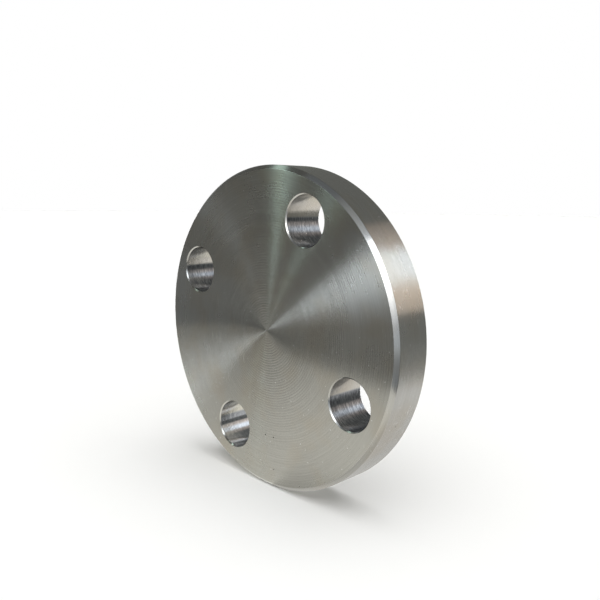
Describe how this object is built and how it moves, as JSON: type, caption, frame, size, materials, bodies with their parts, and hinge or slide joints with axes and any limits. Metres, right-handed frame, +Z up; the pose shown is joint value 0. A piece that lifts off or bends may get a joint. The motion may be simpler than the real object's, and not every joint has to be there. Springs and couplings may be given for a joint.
{
  "type": "blind flange",
  "caption": "Flat round blanking flange, turned from stainless steel, with bolt holes round its edge and no bore, for closing off the end of a pipe.",
  "frame": {"origin": "centre of the gasket face, the turned face that seats against the gasket", "axes": "-Y out of the gasket face; +Y through the disc's thickness to the face the nuts bear on; +Z up with the disc standing on its rim; +X to the right as the gasket face is seen"},
  "size_m": [0.1, 0.014, 0.1],
  "materials": {
    "turned_stainless": "bare stainless steel, faces and rim turned with fine concentric tool marks, holes drilled and deburred, no coating"
  },
  "bodies": {
    "root": {"flange_disc": "turned_stainless"}
  },
  "joints": []
}
